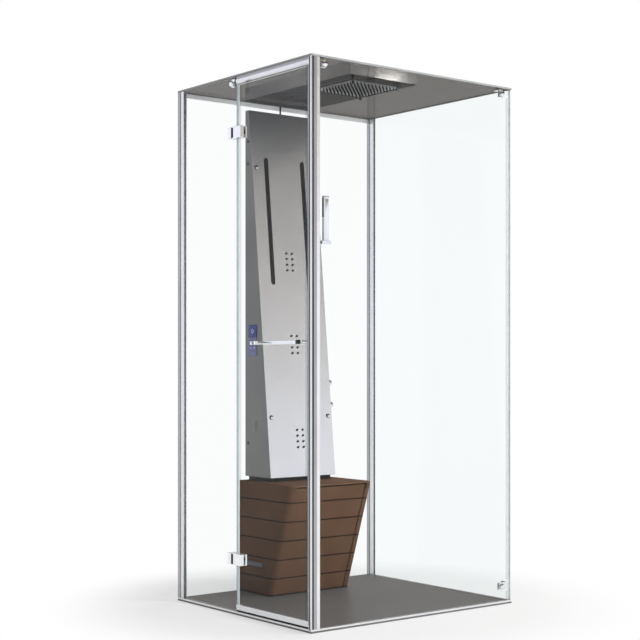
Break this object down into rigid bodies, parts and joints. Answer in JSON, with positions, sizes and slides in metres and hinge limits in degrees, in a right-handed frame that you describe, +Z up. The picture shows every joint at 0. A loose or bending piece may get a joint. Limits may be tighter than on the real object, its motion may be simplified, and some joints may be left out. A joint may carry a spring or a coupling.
{
  "type": "steam shower cabin",
  "caption": "Corner steam shower cabin with glass walls and roof, hinged door, leaning shower column, rain head and a seat over its steam generator.",
  "frame": {"origin": "centre of the tray's underside, on the floor", "axes": "+Z up, +Y towards the wall that the cabin stands against, +X to the right along that wall"},
  "size_m": [1.0996, 0.943, 2.255],
  "materials": {
    "tray_stone": "matt grey mineral composite",
    "bright_aluminium": "polished anodised",
    "clear_glass": "clear toughened",
    "grey_glass": "grey tinted toughened",
    "clear_seal": "translucent soft profile",
    "white_magnet": "satin",
    "black_rubber": "matt",
    "chrome": "polished",
    "black_metal": "satin black",
    "stainless": "fine brushed",
    "column_steel": "fine bead-blasted",
    "galvanised": "plain grey",
    "dark_silicone": "soft matt",
    "smoked_lens": "smoked",
    "brass": "plain cast",
    "copper_pipe": "drawn tube",
    "blue_glass": "printed glass",
    "white_plastic": "gloss white and chrome",
    "brown_composite": "satin brown",
    "black_plastic": "matt",
    "grey_plastic": "matt grey"
  },
  "bodies": {
    "cabin": {"shower_tray": "tray_stone", "waste_body": "stainless", "base_rails": "bright_aluminium", "corner_post": "bright_aluminium", "strike_magnet": "white_magnet", "wall_channels": "bright_aluminium", "infill_profiles": "bright_aluminium", "header_rail": "bright_aluminium", "rear_head_rail": "bright_aluminium", "front_glass": "clear_glass", "right_glass": "clear_glass", "side_glass": "clear_glass", "roof_glass": "grey_glass", "corner_seals": "clear_seal", "connector_caps": "chrome", "roof_brackets": "chrome", "corner_bracket": "chrome", "hinge_frame_leaves": "chrome", "hinge_barrels": "black_metal", "hinge_pins": "stainless", "rain_box": "stainless", "rain_chamber": "stainless", "nozzle_plate": "stainless", "rain_nozzles": "dark_silicone", "plate_studs": "chrome", "rain_feed_pipe": "copper_pipe", "column_shell": "column_steel", "light_bars": "smoked_lens", "body_jets": "dark_silicone", "column_fasteners": "chrome", "column_backplate": "galvanised", "column_foot": "black_plastic", "touch_panel": "blue_glass", "jet_manifolds": "brass", "mixer_valve": "brass", "diverter_valve": "brass", "water_inlets": "brass", "supply_pipes": "copper_pipe", "handset_holder": "chrome", "seat_body": "brown_composite", "seat_front_panel": "brown_composite", "seat_plinth": "black_plastic", "steam_outlet": "grey_plastic", "steam_boiler": "stainless", "heating_element": "stainless", "steam_pipe": "stainless", "control_box": "grey_plastic"},
    "door": {"door_glass": "clear_glass", "door_foot_rail": "bright_aluminium", "door_wiper": "black_rubber", "door_lock_seal": "clear_seal", "door_hinge_seal": "clear_seal", "hinge_door_leaves": "chrome", "door_handle": "chrome", "handle_fixings": "chrome"},
    "hand_shower": {"handset_body": "white_plastic", "handset_spray_face": "dark_silicone"},
    "mixer_dial": {"mixer_knob": "chrome"},
    "diverter_dial": {"diverter_knob": "chrome"},
    "waste_cover": {"drain_cover": "stainless"}
  },
  "joints": [
    {"name": "door_hinge", "type": "hinge", "parent": "cabin", "child": "door", "pos_m": [-0.5496, 0.0405, 1.0955], "axis": [0, 0, -1], "range_deg": [0, 100]},
    {"name": "mixer_turn", "type": "hinge", "parent": "cabin", "child": "mixer_dial", "pos_m": [0.1885, 0.34103, 0.934], "axis": [1, 0, 0], "range_deg": [-90, 90]},
    {"name": "diverter_turn", "type": "hinge", "parent": "cabin", "child": "diverter_dial", "pos_m": [0.1885, 0.33088, 0.834], "axis": [1, 0, 0], "range_deg": [-90, 90]},
    {"name": "handset_lift", "type": "slide", "parent": "cabin", "child": "hand_shower", "axis": [0, 0, 1], "range_m": [0, 0.15]},
    {"name": "waste_cover_lift", "type": "slide", "parent": "cabin", "child": "waste_cover", "axis": [0, 0, 1], "range_m": [0, 0.05]}
  ]
}
